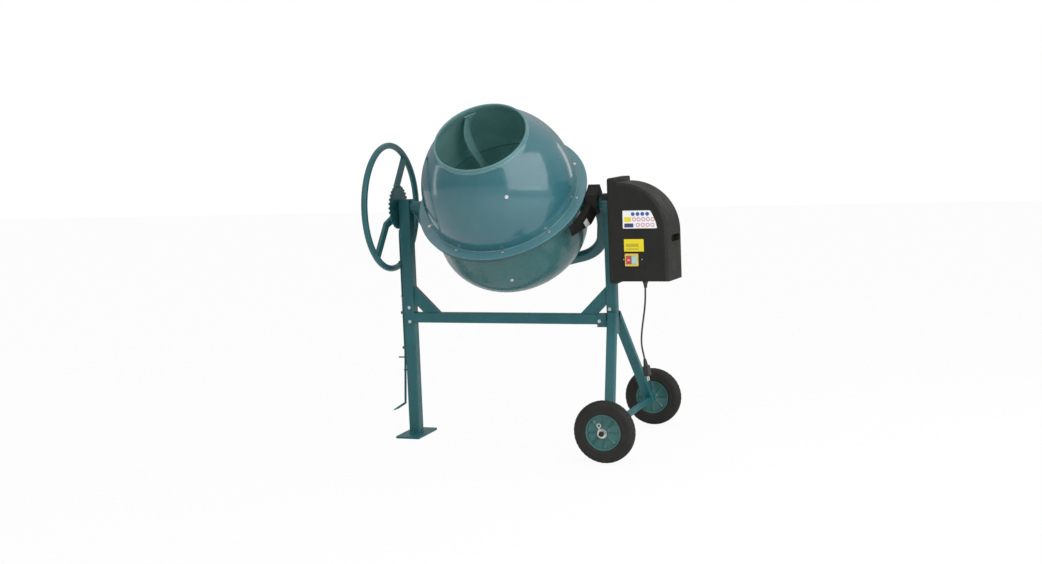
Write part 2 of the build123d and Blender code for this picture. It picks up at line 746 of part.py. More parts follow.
def grip_pocket(extra):
    """Rounded slot let into the cover's outboard side, grown by an extra margin."""
    slot = SlotOverall(2 * (GRIP_HALF[1] + extra), 2 * (GRIP_HALF[0] + extra))
    plane = Plane(origin=(COVER_X + 5, GRIP_Y, GRIP_Z), x_dir=(0, 1, 0), z_dir=(-1, 0, 0))
    return extrude(plane * slot, GRIP_DEPTH + extra + 12.0)


def cover_screws():
    """Two screws that hold the switch."""
    face = COVER_Y[0] - 2
    return group([rod_y(2.2, face - 1.2, face, x=DRUM_X + x, z=721.0) for x in (501.5, 572)])


def switch_unit():
    """Frame round the two buttons, and the switch body behind them inside the cover."""
    front = COVER_Y[0]
    frame = block(BEZEL_X, (front - 7, front - 2), BEZEL_Z)
    frame = fillet(frame.edges().filter_by(Axis.Y), 2.5)
    opening_x = (BEZEL_X[0] + 4.5, BEZEL_X[1] - 4.5)
    opening_z = (BEZEL_Z[0] + 8, BEZEL_Z[1] - 8)
    opening = block(opening_x, (front - 20, front + 10), opening_z)
    body_x = (BEZEL_X[0] + 4, BEZEL_X[1] - 4)
    body_z = (BEZEL_Z[0] + 4, BEZEL_Z[1] - 4)
    body = block(body_x, (front + 5.5, front + 24), body_z)
    return group([frame - opening, body])


def push_button(left):
    """One push button, standing proud of the bezel."""
    x0 = BEZEL_X[0] + 5.0 if left else SWITCH_MID + 0.4
    x1 = SWITCH_MID - 0.4 if left else BEZEL_X[1] - 5.0
    z = (BEZEL_Z[0] + 8.5, BEZEL_Z[1] - 8.5)
    body = block((x0, x1), (COVER_Y[0] - 10, COVER_Y[0] + 2), z)
    return chamfer(body.faces().sort_by(Axis.Y)[0].edges(), 1.2)


def cable_gland():
    """Strain relief where the cable leaves the cover."""
    x, y = GLAND
    top = COVER_Z[0]
    collar = rod_z(10.0, top - 6, top, x=x, y=y)
    neck = rod_z(6.8, top, top + 8, x=x, y=y)
    tail = Pos(x, y, top - 15) * Cone(5.5, 8.5, 18)
    return collar + neck + tail - rod_z(4.4, top - 40, top + 20, x=x, y=y)


PLUG_TILT = 9.0
PLUG_TOP = (DRUM_X + 563.9, GLAND[1], 341.0)   # where the cable enters the plug


def plug_frame(shape):
    """Place a shape drawn with the plug's cable end at its origin, pins pointing down."""
    return Pos(*PLUG_TOP) * Rot(0, -PLUG_TILT, 0) * shape


def power_cable():
    """Short cable that hangs to the plug."""
    x, y, z = PLUG_TOP
    slope = tan(radians(PLUG_TILT))
    path = Spline(
        (GLAND[0], y, 643), (GLAND[0] - 1.3, y, 600), (GLAND[0] - 3, y, 562),
        (GLAND[0] - 21, y, 432), (GLAND[0] - 21.5, y, 392), (x + 4 * slope, y, z - 4),
        tangents=[(0, 0, -1), (slope, 0, -1)],
    )
    section = Plane(origin=path @ 0, z_dir=path % 0) * Circle(3.4)
    return sweep(section, path=path)


def mains_plug():
    """Plug body with a tapered strain relief."""
    body = fillet(block((-12, 12), (-17, 17), (-65, -25)).edges(), 5.0)
    neck = Pos(0, 0, -13) * Cone(9.0, 5.5, 26)
    return plug_frame(body + neck - rod_z(3.8, -5, 4))


def plug_pins():
    """Two round contact pins."""
    return plug_frame(group([rod_z(2.4, -83, -65, y=side * 9.5) for side in (-1, 1)]))


# ---------------------------------------------------------------- stand
def square_tube(size, z0, z1, x):
    """Upright square tube with rounded corners."""
    outer = RectangleRounded(size, size, 5.0)
    inner = RectangleRounded(size - 2 * WALL, size - 2 * WALL, 2.5)
    return Pos(x, 0, z0) * extrude(outer - inner, z1 - z0)


FOOT_HALF = (51.0, 95.0)  # half sizes of the ground plate
FOOT_THICK = 8.0


def column():
    """Left column, with the axle's hole near its top."""
    body = square_tube(COLUMN_SIZE, FOOT_THICK, COLUMN_TOP, COLUMN_X)
    hole = rod_x(LEFT_AXLE_R + 4, COLUMN_X - 40, COLUMN_X + 40, z=AXIS_Z)
    return body - hole - frame_bolt_holes()


def column_head():
    """Sleeve plates that stiffen the column round the left pivot."""
    size = COLUMN_SIZE + 5
    outer = Pos(COLUMN_X, 0, 800) * extrude(RectangleRounded(size, size, 7.0), 158)
    room = Pos(COLUMN_X, 0, 790) * extrude(RectangleRounded(COLUMN_SIZE, COLUMN_SIZE, 5.0), 165)
    hole = rod_x(LEFT_AXLE_R + 4, COLUMN_X - 40, COLUMN_X + 40, z=AXIS_Z)
    return outer - room - hole


def pivot_bush():
    """Plastic bush that the left axle turns in."""
    half = COLUMN_SIZE / 2 + 2.5
    bush = tube(rod_x, LEFT_AXLE_R + 4, LEFT_AXLE_R, COLUMN_X - half, COLUMN_X + half, z=AXIS_Z)
    return bush


def foot_plate():
    """Flat ground plate under the column."""
    x = (COLUMN_X - FOOT_HALF[0], COLUMN_X + FOOT_HALF[0])
    plate = block(x, (-FOOT_HALF[1], FOOT_HALF[1]), (0, FOOT_THICK))
    return fillet(plate.edges().filter_by(Axis.Z), 6.0)


BRACKET_BOLT = (DRUM_X + 374, 475.5)


def bracket_hole():
    """Clearance hole for the bolt through the bracket and the crossbar."""
    return rod_y(4.2, -40, 40, x=BRACKET_BOLT[0], z=BRACKET_BOLT[1])


def crossbar():
    """Horizontal tube between the column and the right bracket."""
    x0 = COLUMN_X + COLUMN_SIZE / 2
    x1 = POST_X - POST_SIZE / 2 - 14
    half = BAR_SIZE / 2
    outer = block((x0, x1), (-half, half), (BAR_Z - half, BAR_Z + half))
    outer = fillet(outer.edges().filter_by(Axis.X), 5.0)
    bore = half - WALL
    inner = block((x0 - 1, x1 + 1), (-bore, bore), (BAR_Z - bore, BAR_Z + bore))
    return outer - inner - bracket_hole()


def brace(side):
    """Flat tube brace at 45 degrees between one upright and the crossbar."""
    wall_x = COLUMN_X + COLUMN_SIZE / 2 if side < 0 else POST_X - POST_SIZE / 2
    top = BAR_Z + BAR_SIZE / 2
    rise = 107.7
    width = 68.0

    def strip(inset):
        skew = inset * sqrt(2)
        return Polyline(
            (wall_x, top + rise - skew), (wall_x - side * (rise - skew), top),
            (wall_x - side * (rise - width + skew), top), (wall_x, top + rise - width + skew),
            close=True,
        )

    outer = extrude(Plane.XZ * make_face(strip(0.0)), 12.0, both=True)
    inner = extrude(Plane.XZ * make_face(strip(WALL)), 12.0 - WALL, both=True)
    return outer - inner


def bar_bracket():
    """Socket welded to the right post that the crossbar slides into."""
    x0, x1 = DRUM_X + 364, POST_X - POST_SIZE / 2
    outer = block((x0, x1), (-23.5, 23.5), (452, BAR_Z + BAR_SIZE / 2))
    hollow = block((x0 - 1, x1 - 4), (-20, 20), (BAR_Z - 20, BAR_Z + 30))
    return outer - hollow - bracket_hole()


FRAME_BOLTS = (
    (COLUMN_X + 4.5, 523.0, COLUMN_SIZE / 2),
    (COLUMN_X + 5, 466.0, COLUMN_SIZE / 2),
    (POST_X - 5, 522.0, POST_SIZE / 2),
    (*BRACKET_BOLT, 23.5),
)


def frame_bolt_holes():
    """Clearance holes for the bolts through column and post."""
    return [rod_y(4.2, -40, 40, x=x, z=z) for x, z, _ in FRAME_BOLTS[:3]]


def frame_bolts():
    """Through bolts with their nuts."""
    bolts = []
    for x, z, face in FRAME_BOLTS:
        bolt = Pos(x, -face, z) * Rot(90, 0, 0) * hex_bolt(4.0, 2 * face + 9)
        nut = Pos(x, face + 7, z) * Rot(90, 0, 0) * hexagon(13.0, 7.0)
        bolts.append(bolt + nut)
    return group(bolts)


POST_TOP = AXIS_Z - 38.0
LEG_TOP = 536.0           # where both legs' middles would meet inside the post
LEG_END = 510.0           # flat top of both legs, closed by a cap


def post():
    """Right post up to the bearing block."""
    return square_tube(POST_SIZE, 425, POST_TOP, POST_X) - frame_bolt_holes()


def pivot_block():
    """Bearing block on the post: the pivot tube turns in it."""
    half = POST_SIZE / 2 - 1
    base = block((POST_X - half, POST_X + half), (-30, 30), (POST_TOP, AXIS_Z))
    ring = rod_x(33.0, POST_X - half, POST_X + half, z=AXIS_Z)
    bore = rod_x(PIVOT_TUBE_R + RUN, POST_X - 40, POST_X + 40, z=AXIS_Z)
    return base + ring - bore


def leg(side):
    """Splayed leg from the post to the axle, rectangular tube."""
    top = Vector(POST_X, 0, LEG_TOP)
    foot = Vector(WHEEL_X, side * 284, 115)
    run = foot - top
    plane = Plane(origin=top, x_dir=(1, 0, -run.X / run.Z), z_dir=run.normalized())
    length = run.length + 14
    outer = extrude(plane * RectangleRounded(38, 22, 4), length)
    inner = extrude(plane * RectangleRounded(33, 17, 2), length)
    y = (0, 400) if side > 0 else (-400, 0)
    keep = (POST_SIZE / 2, 400) if side > 0 else (-400, -POST_SIZE / 2)
    outer = outer & block((0, 700), keep, (0, LEG_END))
    inner = inner & block((0, 700), (-400, 400), (0, LEG_END - WALL))
    return outer - inner - rod_y(13.0, *y, x=WHEEL_X, z=WHEEL_R)


def axle_tube():
    """Painted cross tube between the legs, round the wheel axle."""
    return tube(rod_y, 13.0, AXLE_R, -300, 300, x=WHEEL_X, z=WHEEL_R)


def wheel_axle():
    """Steel axle through both wheels."""
    return rod_y(AXLE_R, -AXLE_END, AXLE_END, x=WHEEL_X, z=WHEEL_R)


def axle_hardware():
    """Washers on both sides of each wheel, and a spring clip on each end of the axle."""
    pieces = []
    for side in (-1, 1):
        for start in (306.0, 377.0):
            span = (side * start, side * (start + 3))
            pieces.append(tube(rod_y, 18.0, AXLE_R, *span, x=WHEEL_X, z=WHEEL_R))
        y = side * 385.0
        span = (y - 1.5, y + 1.5)
        collar = tube(rod_y, AXLE_R + 4, AXLE_R, *span, x=WHEEL_X, z=WHEEL_R)
        loop = tube(rod_y, 8.5, 5.5, *span, x=WHEEL_X - 9, z=WHEEL_R + 30)
        stem = block((WHEEL_X - 11, WHEEL_X - 7), span, (WHEEL_R + 10.5, WHEEL_R + 24))
        pieces.append(collar + stem + loop)
    return group(pieces)


def wheel_frame(side):
    """Frame with +Z along the wheel's axis, pointing outboard."""
    return Location((WHEEL_X, side * WHEEL_Y, WHEEL_R), (90 if side < 0 else -90, 0, 0))


def tyre(side):
    """Solid tyre with rounded shoulders."""
    half = TYRE_WIDTH / 2
    outline = make_face(
        Polyline(
            (HUB_R, -half + 3), (HUB_R + 8, -half), (WHEEL_R, -half),
            (WHEEL_R, half), (HUB_R + 8, half), (HUB_R, half - 3), close=True,
        )
    )
    corners = outline.vertices().filter_by_position(Axis.X, WHEEL_R - 1, WHEEL_R + 1)
    outline = fillet(corners, 17.0)
    return wheel_frame(side) * revolve(Plane.XZ * outline, Axis.Z)


def wheel_hub(side):
    """Hub disc pressed in the tyre, with ribs and a long bore."""
    half = TYRE_WIDTH / 2
    disc = rod_z(HUB_R, -half + 4, half - 4) - rod_z(HUB_R - 7, half - 8, half)
    disc = disc - rod_z(HUB_R - 7, -half, -half + 8)
    boss = rod_z(17.0, -half - 5.5, half + 5.5)
    rib = Pos(38, 0, 0) * Box(40, 5, 2 * half - 10)
    body = disc + boss + polar(rib, 8)
    return wheel_frame(side) * (body - rod_z(AXLE_R + RUN, -half - 8, half + 8))


# ---------------------------------------------------------------- tilt lock
LATCH_X = DISC_X
LATCH_TOP = AXIS_Z - DISC_R - 4.0
ROD_R = 4.5


def rod_piece(start, end):
    """Length of the pedal rod between two points, with a round start."""
    run = end - start
    length = extrude(Plane(origin=start, z_dir=run) * Circle(ROD_R), run.length)
    return length + Pos(*start) * Sphere(ROD_R)


def latch_rod():
    """Pedal rod: latch pin at the top, pedal toe at the bottom."""
    pin = block((LATCH_X - 2.5, LATCH_X + 2.5), (-3.5, 3.5), (LATCH_TOP - 20, LATCH_TOP))
    knee = Vector(LATCH_X, 0, 330)
    ankle = Vector(LATCH_X - 10, 0, 128)
    tip = Vector(LATCH_X - 48, 0, 104)
    rod = rod_z(ROD_R, knee.Z, LATCH_TOP - 16, x=LATCH_X)
    rod = rod + rod_piece(knee, ankle) + rod_piece(ankle, tip)
    toe = Pos(LATCH_X - 35.5, 0, 112) * Rot(0, -32, 0) * Box(40, 46, 5)
    hook = rod_x(3.0, LATCH_X - 29, LATCH_X - 3, z=316.5)
    collars = [rod_z(6.4, 565, 570, x=LATCH_X), rod_z(6.4, 262, 267, x=LATCH_X - 3.3)]
    return rod + pin + toe + hook + collars


def rod_guides():
    """Clips on the column that the pedal rod slides in."""
    guides = []
    face = COLUMN_X - COLUMN_SIZE / 2
    for z in (495.0, 352.0, 700.0):
        clip = block((LATCH_X - 7.5, face), (-9, 9), (z, z + 10))
        guides.append(clip - rod_z(ROD_R + RUN, z - 5, z + 15, x=LATCH_X))
    return group(guides)


def return_spring():
    """Compression spring that lifts the rod into a notch."""
    wire, radius, low, high = 0.7, 6.2, 506.5, 563.5
    path = Helix(pitch=(high - low) / 9, height=high - low, radius=radius)
    section = Plane(origin=path @ 0, z_dir=path % 0) * Circle(wire)
    return Pos(LATCH_X, 0, low) * sweep(section, path=path, is_frenet=True)


# ---------------------------------------------------------------- write the parts
def drum_frame_parts():
    """Parts drawn about the drum axis."""
    return {
        "drum_bowl": drum_bowl(),
        "drum_cone": drum_cone(),
        "ring_gear_segments": ring_gear_segments(),
        "drum_bolts": drum_bolts(),
        "blade_front": mixing_blade(0),
        "blade_rear": mixing_blade(1),
        "drum_hub": drum_hub(),
        "shaft_nuts": shaft_nuts(),
        "drum_shaft": drum_shaft(),
        "yoke_tube": yoke(),
        "bearing_housing": bearing_housing(),
        "ball_bearings": ball_bearings(),
        "gear_guard": gear_guard(),
        "pivot_tube": pivot_tube(),
        "pivot_axle": pivot_axle(),
        "pinion_gear": pinion_gear(),
    }


def tilt_frame_parts():
    """Parts drawn about the tilt axis."""
    return {
        "pinion_shaft": pinion_shaft(),
        "large_pulley": large_pulley(),
        "lock_disc": lock_disc(),
        "handwheel_spokes": handwheel_spokes(),
        "handwheel_rim": handwheel_rim(),
        "handwheel_nut": handwheel_nut(),
    }


def drive_parts():
    """Belt drive, motor, housing and electrical parts."""
    return {
        "drive_belt": drive_belt(),
        "motor_body": motor_body(),
        "motor_rotor": motor_rotor(),
        "motor_pulley": motor_pulley(),
        "cooling_fan": cooling_fan(),
        "belt_case": belt_case(),
        "motor_cover": motor_cover(),
        "cover_screws": cover_screws(),
        "switch_unit": switch_unit(),
        "stop_button": push_button(left=True),
        "start_button": push_button(left=False),
        "cable_gland": cable_gland(),
        "power_cable": power_cable(),
        "mains_plug": mains_plug(),
        "plug_pins": plug_pins(),
    }


def stand_parts():
    """Stand, wheels and tilt lock."""
    return {
        "column": column(),
        "column_head": column_head(),
        "pivot_bush": pivot_bush(),
        "foot_plate": foot_plate(),
        "crossbar": crossbar(),
        "braces": group([brace(-1), brace(1)]),
        "bar_bracket": bar_bracket(),
        "frame_bolts": frame_bolts(),
        "post": post(),
        "pivot_block": pivot_block(),
        "leg_front": leg(-1),
        "leg_rear": leg(1),
        "axle_tube": axle_tube(),
        "wheel_axle": wheel_axle(),
        "axle_hardware": axle_hardware(),
        "tyre_front": tyre(-1),
        "tyre_rear": tyre(1),
        "wheel_hub_front": wheel_hub(-1),
        "wheel_hub_rear": wheel_hub(1),
        "latch_rod": latch_rod(),
        "rod_guides": rod_guides(),
        "return_spring": return_spring(),
    }


def all_parts():
    """Every node with its solid, in the world frame."""
    parts = {name: DRUM_FRAME * shape for name, shape in drum_frame_parts().items()}
    parts.update({name: TILT_FRAME * shape for name, shape in tilt_frame_parts().items()})
    parts.update(drive_parts())
    parts.update(stand_parts())
    return parts


if __name__ == "__main__":
    os.makedirs("parts", exist_ok=True)
    for name, shape in all_parts().items():
        export_step(shape, f"parts/{name}.step")
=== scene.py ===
import json
import math

import bmesh
import bpy
import numpy as np
from mathutils import Matrix, Vector

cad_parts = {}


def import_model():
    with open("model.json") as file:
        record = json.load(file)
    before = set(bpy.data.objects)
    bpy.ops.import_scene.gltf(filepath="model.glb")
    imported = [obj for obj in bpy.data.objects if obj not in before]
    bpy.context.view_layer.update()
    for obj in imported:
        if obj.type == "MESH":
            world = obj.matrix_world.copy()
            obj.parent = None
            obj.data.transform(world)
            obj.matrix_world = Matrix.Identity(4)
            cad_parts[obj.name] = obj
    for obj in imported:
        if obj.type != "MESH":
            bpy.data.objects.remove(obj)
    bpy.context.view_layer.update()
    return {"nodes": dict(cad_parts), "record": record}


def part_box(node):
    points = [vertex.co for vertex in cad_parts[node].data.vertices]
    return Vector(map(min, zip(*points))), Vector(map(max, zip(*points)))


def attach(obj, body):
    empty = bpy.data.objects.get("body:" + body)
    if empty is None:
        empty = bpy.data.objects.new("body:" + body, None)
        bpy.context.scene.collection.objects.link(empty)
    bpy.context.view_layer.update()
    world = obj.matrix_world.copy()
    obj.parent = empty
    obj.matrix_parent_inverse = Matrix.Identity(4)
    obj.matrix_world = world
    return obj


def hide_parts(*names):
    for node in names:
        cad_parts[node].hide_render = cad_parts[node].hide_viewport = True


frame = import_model()
nodes = frame["nodes"]
record = frame["record"]


# ---------------------------------------------------------------- materials
def new_material(name):
    mat = bpy.data.materials.new(name)
    mat.use_nodes = True
    tree = mat.node_tree
    tree.nodes.clear()
    out = tree.nodes.new("ShaderNodeOutputMaterial")
    bsdf = tree.nodes.new("ShaderNodeBsdfPrincipled")
    tree.links.new(bsdf.outputs["BSDF"], out.inputs["Surface"])
    return mat, tree, bsdf


def noise(tree, coords, scale, detail=3.0, rough=0.55):
    node = tree.nodes.new("ShaderNodeTexNoise")
    node.inputs["Scale"].default_value = scale
    node.inputs["Detail"].default_value = detail
    node.inputs["Roughness"].default_value = rough
    tree.links.new(coords, node.inputs["Vector"])
    return node.outputs["Fac"]


def ramp(tree, value, low, high, start=0.35, end=0.65):
    """Maps a 0-1 value to low..high between start and end."""
    node = tree.nodes.new("ShaderNodeMapRange")
    node.interpolation_type = "SMOOTHSTEP"
    for key, number in (("From Min", start), ("From Max", end), ("To Min", low), ("To Max", high)):
        node.inputs[key].default_value = number
    tree.links.new(value, node.inputs["Value"])
    return node.outputs["Result"]


def mixed(tree, factor, a, b):
    node = tree.nodes.new("ShaderNodeMix")
    node.data_type = "RGBA"
    node.inputs["A"].default_value = (*a, 1) if isinstance(a, tuple) else (1, 1, 1, 1)
    node.inputs["B"].default_value = (*b, 1) if isinstance(b, tuple) else (1, 1, 1, 1)
    if not isinstance(a, tuple):
        tree.links.new(a, node.inputs["A"])
    if not isinstance(b, tuple):
        tree.links.new(b, node.inputs["B"])
    tree.links.new(factor, node.inputs["Factor"])
    return node.outputs["Result"]


def surface(name, colour, rough, metallic=0.0, coat=0.0, tint=0.12, grain=(40.0, 0.0), fine=(600.0, 0.0),
            spread=0.06, dust=0.0, edge=0.0, gloss=0.5):
    """Principled material: cloudy colour, uneven roughness, two bumps, dust on top faces, soft edges."""
    mat, tree, bsdf = new_material(name)
    coords = tree.nodes.new("ShaderNodeTexCoord").outputs["Object"]
    cloud = noise(tree, coords, 9.0, 5.0)
    dark = tuple(c * (1 - tint) for c in colour)
    light = tuple(min(1.0, c * (1 + tint)) for c in colour)
    shade = mixed(tree, ramp(tree, cloud, 0.0, 1.0), dark, light)
    if dust > 0:
        normal = tree.nodes.new("ShaderNodeNewGeometry").outputs["Normal"]
        split = tree.nodes.new("ShaderNodeSeparateXYZ")
        tree.links.new(normal, split.inputs["Vector"])
        speck = noise(tree, coords, 70.0, 6.0, 0.7)
        product = tree.nodes.new("ShaderNodeMath")
        product.operation = "MULTIPLY"
        tree.links.new(ramp(tree, split.outputs["Z"], 0.0, dust, 0.1, 1.0), product.inputs[0])
        tree.links.new(ramp(tree, speck, 0.3, 1.0, 0.4, 0.7), product.inputs[1])
        shade = mixed(tree, product.outputs["Value"], shade, (0.5, 0.5, 0.48))
    tree.links.new(shade, bsdf.inputs["Base Color"])
    patch = noise(tree, coords, 23.0, 4.0)
    tree.links.new(ramp(tree, patch, rough - spread, rough + spread, 0.3, 0.7), bsdf.inputs["Roughness"])
    bsdf.inputs["Metallic"].default_value = metallic
    bsdf.inputs["Specular IOR Level"].default_value = gloss
    bsdf.inputs["Coat Weight"].default_value = coat
    bsdf.inputs["Coat Roughness"].default_value = 0.06
    normal = None
    if edge > 0:
        bevel = tree.nodes.new("ShaderNodeBevel")
        bevel.samples = 4
        bevel.inputs["Radius"].default_value = edge
        normal = bevel.outputs["Normal"]
    for scale, depth in (grain, fine):
        if depth > 0:
            bump = tree.nodes.new("ShaderNodeBump")
            bump.inputs["Strength"].default_value = 1.0
            bump.inputs["Distance"].default_value = depth
            tree.links.new(noise(tree, coords, scale, 3.0), bump.inputs["Height"])
            if normal is not None:
                tree.links.new(normal, bump.inputs["Normal"])
            normal = bump.outputs["Normal"]
    if normal is not None:
        tree.links.new(normal, bsdf.inputs["Normal"])
    return mat


DRUM = surface("drum_enamel", (0.036, 0.143, 0.172), 0.2, coat=0.6, tint=0.04,
               grain=(11, 0.0012), fine=(260, 0.00003))
# Inside of the drum: the drum paint made much lighter, as painted light falling in through the mouth; it is
# also rougher.
INSIDE_PAINTED_LIGHT = surface("drum_inside_painted_light", (0.29, 0.56, 0.54), 0.55, tint=0.1, grain=(30, 0.0008), fine=(300, 0.0001))
# Flange band: the drum enamel made lighter, as painted light on its upward-facing band.
FLANGE_PAINTED_LIGHT = surface("flange_enamel_painted_light", (0.085, 0.22, 0.255), 0.22, coat=0.5, tint=0.04,
                 grain=(11, 0.0008), fine=(260, 0.00003))
BLADE = surface("blade_enamel", (0.27, 0.54, 0.52), 0.5, tint=0.12, grain=(60, 0.0004), fine=(300, 0.0001))
# Lighter copy of the drum enamel for the rolled mouth and the joint beads: a painted highlight along them.
HIGHLIGHT_ENAMEL = surface("highlight_enamel", (0.09, 0.225, 0.235), 0.3, coat=0.3, tint=0.05, grain=(60, 0.0002))
FRAME = surface("frame_enamel", (0.008, 0.105, 0.118), 0.42, coat=0.1, tint=0.08,
                grain=(60, 0.0003), fine=(420, 0.00006),
                dust=0.02, edge=0.0008)
BLACK = surface("black_plastic", (0.0145, 0.0142, 0.0125), 0.55, gloss=0.25, tint=0.1,
                grain=(900, 0.00008), fine=(2400, 0.00006),
                edge=0.001)
ZINC = surface("zinc", (0.66, 0.68, 0.67), 0.32, metallic=1.0, tint=0.1,
               grain=(200, 0.0001), fine=(900, 0.00004))
STEEL = surface("steel", (0.42, 0.42, 0.41), 0.3, metallic=1.0, tint=0.12, grain=(150, 0.0001))
GUARD = surface("guard_plastic", (0.0085, 0.008, 0.007), 0.55, gloss=0.25, tint=0.1,
                grain=(900, 0.00008), fine=(2400, 0.00006))
DARK_STEEL = surface("dark_steel", (0.03, 0.03, 0.03), 0.4, metallic=0.6, tint=0.2, grain=(150, 0.0001))
IRON = surface("cast_iron", (0.03, 0.10, 0.105), 0.55, tint=0.15, grain=(160, 0.0006), fine=(900, 0.0002))
TYRE = surface("tyre_rubber", (0.018, 0.0175, 0.016), 0.66, gloss=0.3, tint=0.15,
               grain=(300, 0.0002), fine=(1500, 0.00008))
BELT = surface("belt_rubber", (0.02, 0.02, 0.02), 0.7, grain=(500, 0.0002))
CABLE = surface("cable_rubber", (0.022, 0.022, 0.022), 0.5, grain=(400, 0.0001))
ALU = surface("aluminium", (0.6, 0.6, 0.6), 0.38, metallic=1.0, tint=0.08, grain=(250, 0.0002))
BEZEL = surface("bezel_plastic", (0.72, 0.52, 0.10), 0.4, tint=0.05, fine=(900, 0.00003))
RED = surface("red_plastic", (0.55, 0.06, 0.06), 0.3, tint=0.05, fine=(900, 0.00003))
GREEN = surface("green_plastic", (0.36, 0.60, 0.54), 0.3, tint=0.05, fine=(900, 0.00003))
BOWL = surface("bowl_enamel", (0.034, 0.132, 0.136), 0.3, coat=0.25, tint=0.02,
               grain=(7, 0.0002), fine=(260, 0.00003))
BUSH = surface("nylon", (0.05, 0.05, 0.05), 0.5, fine=(900, 0.00003))
HUB = surface("hub_enamel", (0.035, 0.135, 0.13), 0.36, coat=0.2, tint=0.1,
              grain=(80, 0.0002), fine=(500, 0.00006))
GREY = surface("grey_plastic", (0.42, 0.43, 0.42), 0.5, tint=0.06, fine=(900, 0.00003))
PAPER = surface("label_white", (0.84, 0.85, 0.86), 0.4, tint=0.02, fine=(1200, 0.00002))
YELLOW = surface("label_yellow", (0.80, 0.66, 0.01), 0.4, tint=0.03, fine=(1200, 0.00002))
OCHRE = surface("label_ochre", (0.50, 0.42, 0.03), 0.45, tint=0.06, fine=(1200, 0.00002))
BLUE = surface("label_blue", (0.05, 0.10, 0.40), 0.4, tint=0.05, fine=(1200, 0.00002))
NAVY = surface("label_navy", (0.05, 0.06, 0.16), 0.4, tint=0.05, fine=(1200, 0.00002))
PINK = surface("label_red", (0.55, 0.13, 0.18), 0.4, tint=0.05, fine=(1200, 0.00002))

SLOT_MATERIALS = {
    "drum_paint": DRUM, "frame_paint": FRAME, "black_plastic": BLACK, "zinc": ZINC, "steel": STEEL,
    "cast_iron": IRON, "tyre": TYRE, "belt": BELT, "cable": CABLE, "aluminium": ALU, "bezel": BEZEL,
    "red_button": RED, "green_button": GREEN, "bush": BUSH, "wheel_paint": HUB,
}


def dress_cad():
    """Gives every CAD node its material."""
    for name, obj in nodes.items():
        slot = obj.material_slots[0].material.name.split(".")[0] if obj.material_slots else "steel"
        material = SLOT_MATERIALS.get(slot, STEEL)
        obj.data.materials.clear()
        obj.data.materials.append(material)


dress_cad()
nodes["wheel_axle"].data.materials[0] = DARK_STEEL
nodes["gear_guard"].data.materials[0] = GUARD
for name in ("blade_front", "blade_rear"):
    nodes[name].data.materials[0] = BLADE


# ---------------------------------------------------------------- mesh helpers
joints = {joint["name"]: joint for joint in record["behaviour"]["joints"]}
PIVOT = Vector(joints["drum_tilt"]["pos_m"])
TILT = math.radians(42.0)
DRUM_FRAME = Matrix.Translation(PIVOT) @ Matrix.Rotation(TILT, 4, "X")
MM = 0.001


def piece(name, verts, faces, materials, body, slot, indices=None, sharp=30.0, stands_for=()):
    """Adds one visible mesh in the row frame and lets it ride on a body."""
    mesh = bpy.data.meshes.new(name)
    mesh.from_pydata([tuple(v) for v in verts], [], faces)
    bm = bmesh.new()
    bm.from_mesh(mesh)
    bmesh.ops.remove_doubles(bm, verts=bm.verts, dist=1e-6)
    if indices is None:
        bmesh.ops.recalc_face_normals(bm, faces=bm.faces)
    bm.to_mesh(mesh)
    bm.free()
    for material in materials:
        mesh.materials.append(material)
    if indices is not None:
        mesh.polygons.foreach_set("material_index", indices)
    mesh.polygons.foreach_set("use_smooth", [True] * len(mesh.polygons))
    mesh.set_sharp_from_angle(angle=math.radians(sharp))
    mesh.update()
    obj = bpy.data.objects.new(name, mesh)
    bpy.context.scene.collection.objects.link(obj)
    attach(obj, body)
    if stands_for:
        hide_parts(*stands_for)
    return obj


def lathe_mesh(outline, matrix, segments=160, shape=None):
    """Vertices and quads of a closed (r, z) outline in millimetres, turned about the matrix's Z axis."""
    count = len(outline)
    verts = []
    for step in range(segments):
        angle = 2 * math.pi * step / segments
        for r, z in outline:
            if shape:
                r, z = shape(angle, r, z)
            verts.append(matrix @ Vector((r * math.cos(angle) * MM, r * math.sin(angle) * MM, z * MM)))
    faces = []
    for step in range(segments):
        here, there = step * count, (step + 1) % segments * count
        for i in range(count):
            j = (i + 1) % count
            faces.append((here + i, there + i, there + j, here + j))
    return verts, faces


def softened(corners, steps=5):
    """Outline with each (r, z, radius) corner cut by a smooth curve."""
    points = []
    for i, (r, z, radius) in enumerate(corners):
        here = Vector((r, z))
        if radius <= 0:
            points.append((r, z))
            continue
        before = Vector(corners[i - 1][:2]) - here
        after = Vector(corners[(i + 1) % len(corners)][:2]) - here
        reach_a = here + before.normalized() * min(radius, before.length * 0.49)
        reach_b = here + after.normalized() * min(radius, after.length * 0.49)
        for step in range(steps + 1):
            t = step / steps
            point = reach_a * (1 - t) ** 2 + here * 2 * t * (1 - t) + reach_b * t ** 2
            points.append((point.x, point.y))
    return points


def box_mesh(size, matrix, cut=0.12):
    """Box in millimetres with every edge bevelled."""
    bm = bmesh.new()
    bmesh.ops.create_cube(bm, size=1.0)
    for vert in bm.verts:
        vert.co = Vector([vert.co[i] * size[i] * MM for i in range(3)])
    width = min(size) * cut * MM
    bmesh.ops.bevel(bm, geom=bm.edges[:], offset=width, segments=3, profile=0.5, affect="EDGES")
    bm.transform(matrix)
    bm.verts.index_update()
    verts = [vert.co.copy() for vert in bm.verts]
    faces = [tuple(vert.index for vert in face.verts) for face in bm.faces]
    bm.free()
    return verts, faces


def joined(meshes):
    """Several (vertices, faces) pairs as one."""
    verts, faces = [], []
    for some_verts, some_faces in meshes:
        base = len(verts)
        verts.extend(some_verts)
        faces.extend(tuple(index + base for index in face) for face in some_faces)
    return verts, faces


